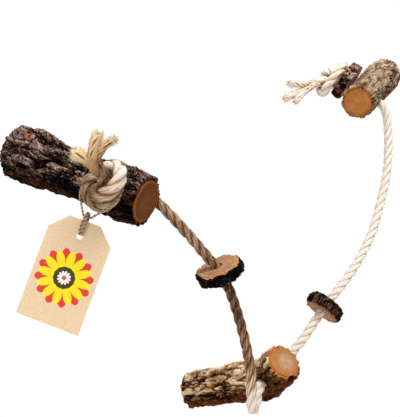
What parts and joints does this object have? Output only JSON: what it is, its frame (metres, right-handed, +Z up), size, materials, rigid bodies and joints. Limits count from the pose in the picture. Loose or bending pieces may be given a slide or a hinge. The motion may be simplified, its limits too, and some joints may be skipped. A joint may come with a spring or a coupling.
{
  "type": "bird rope perch",
  "caption": "Hanging perch for small cage birds: drilled natural logs and branch slices threaded on a twisted rope, with stopper knots, unlaid strand ends and a card tag on twine.",
  "frame": {"origin": "middle of the left log's cross hole, on the rope's centreline, where the left end of the perch is tied up", "axes": "+X from the left log towards the right log, +Z up as it hangs, front of the perch towards -Y"},
  "size_m": [0.3462, 0.2524, 0.3218],
  "materials": {
    "rope_fibre": "rough natural fibre",
    "dark_bark": "rough bark",
    "pale_bark": "rough bark",
    "sawn_wood": "sawn",
    "kraft_card": "matt",
    "twine_fibre": "rough natural fibre"
  },
  "bodies": {
    "rope": {"rope_left_span": "rope_fibre", "rope_right_span": "rope_fibre", "left_knot": "rope_fibre", "right_knot": "rope_fibre", "left_strand_1": "rope_fibre", "left_strand_2": "rope_fibre", "left_strand_3": "rope_fibre", "right_strand_1": "rope_fibre", "right_strand_2": "rope_fibre", "right_strand_3": "rope_fibre", "tag_loop": "twine_fibre"},
    "left_log": {"left_log_wood": "sawn_wood", "left_log_bark": "dark_bark"},
    "right_log": {"right_log_wood": "sawn_wood", "right_log_bark": "pale_bark"},
    "lower_log": {"lower_log_wood": "sawn_wood", "lower_log_bark": "pale_bark"},
    "left_slice": {"left_slice_wood": "sawn_wood", "left_slice_bark": "dark_bark"},
    "right_slice": {"right_slice_wood": "sawn_wood", "right_slice_bark": "dark_bark"},
    "end_slice": {"end_slice_wood": "sawn_wood", "end_slice_bark": "dark_bark"},
    "tag": {"tag_card": "kraft_card", "tag_string": "twine_fibre"}
  },
  "joints": [
    {"name": "left_log_turn", "type": "hinge", "parent": "rope", "child": "left_log", "pos_m": [0, 0, 0], "axis": [0.4128, 0.9108, -0.0007], "continuous": true},
    {"name": "right_log_turn", "type": "hinge", "parent": "rope", "child": "right_log", "pos_m": [0.2074, 0.1394, 0.0957], "axis": [0.7726, -0.1649, -0.6131], "continuous": true},
    {"name": "lower_log_turn", "type": "hinge", "parent": "rope", "child": "lower_log", "pos_m": [0.1059, 0.0684, -0.1465], "axis": [0.3901, 0.9203, 0.03], "range_deg": [-40, 40]},
    {"name": "left_slice_spin", "type": "hinge", "parent": "rope", "child": "left_slice", "pos_m": [0.0674, 0.0389, -0.0578], "axis": [0.5457, 0.2927, -0.7852], "continuous": true},
    {"name": "right_slice_spin", "type": "hinge", "parent": "rope", "child": "right_slice", "pos_m": [0.163, 0.1144, -0.0986], "axis": [0.6289, 0.2503, 0.7361], "continuous": true},
    {"name": "end_slice_spin", "type": "hinge", "parent": "rope", "child": "end_slice", "pos_m": [0.19056, 0.143, 0.10906], "axis": [0.7726, -0.1649, -0.6131], "continuous": true},
    {"name": "tag_swing", "type": "hinge", "parent": "rope", "child": "tag", "pos_m": [-0.01762, -0.02419, -0.01669], "axis": [0, 1, 0], "range_deg": [-20, 20]}
  ]
}
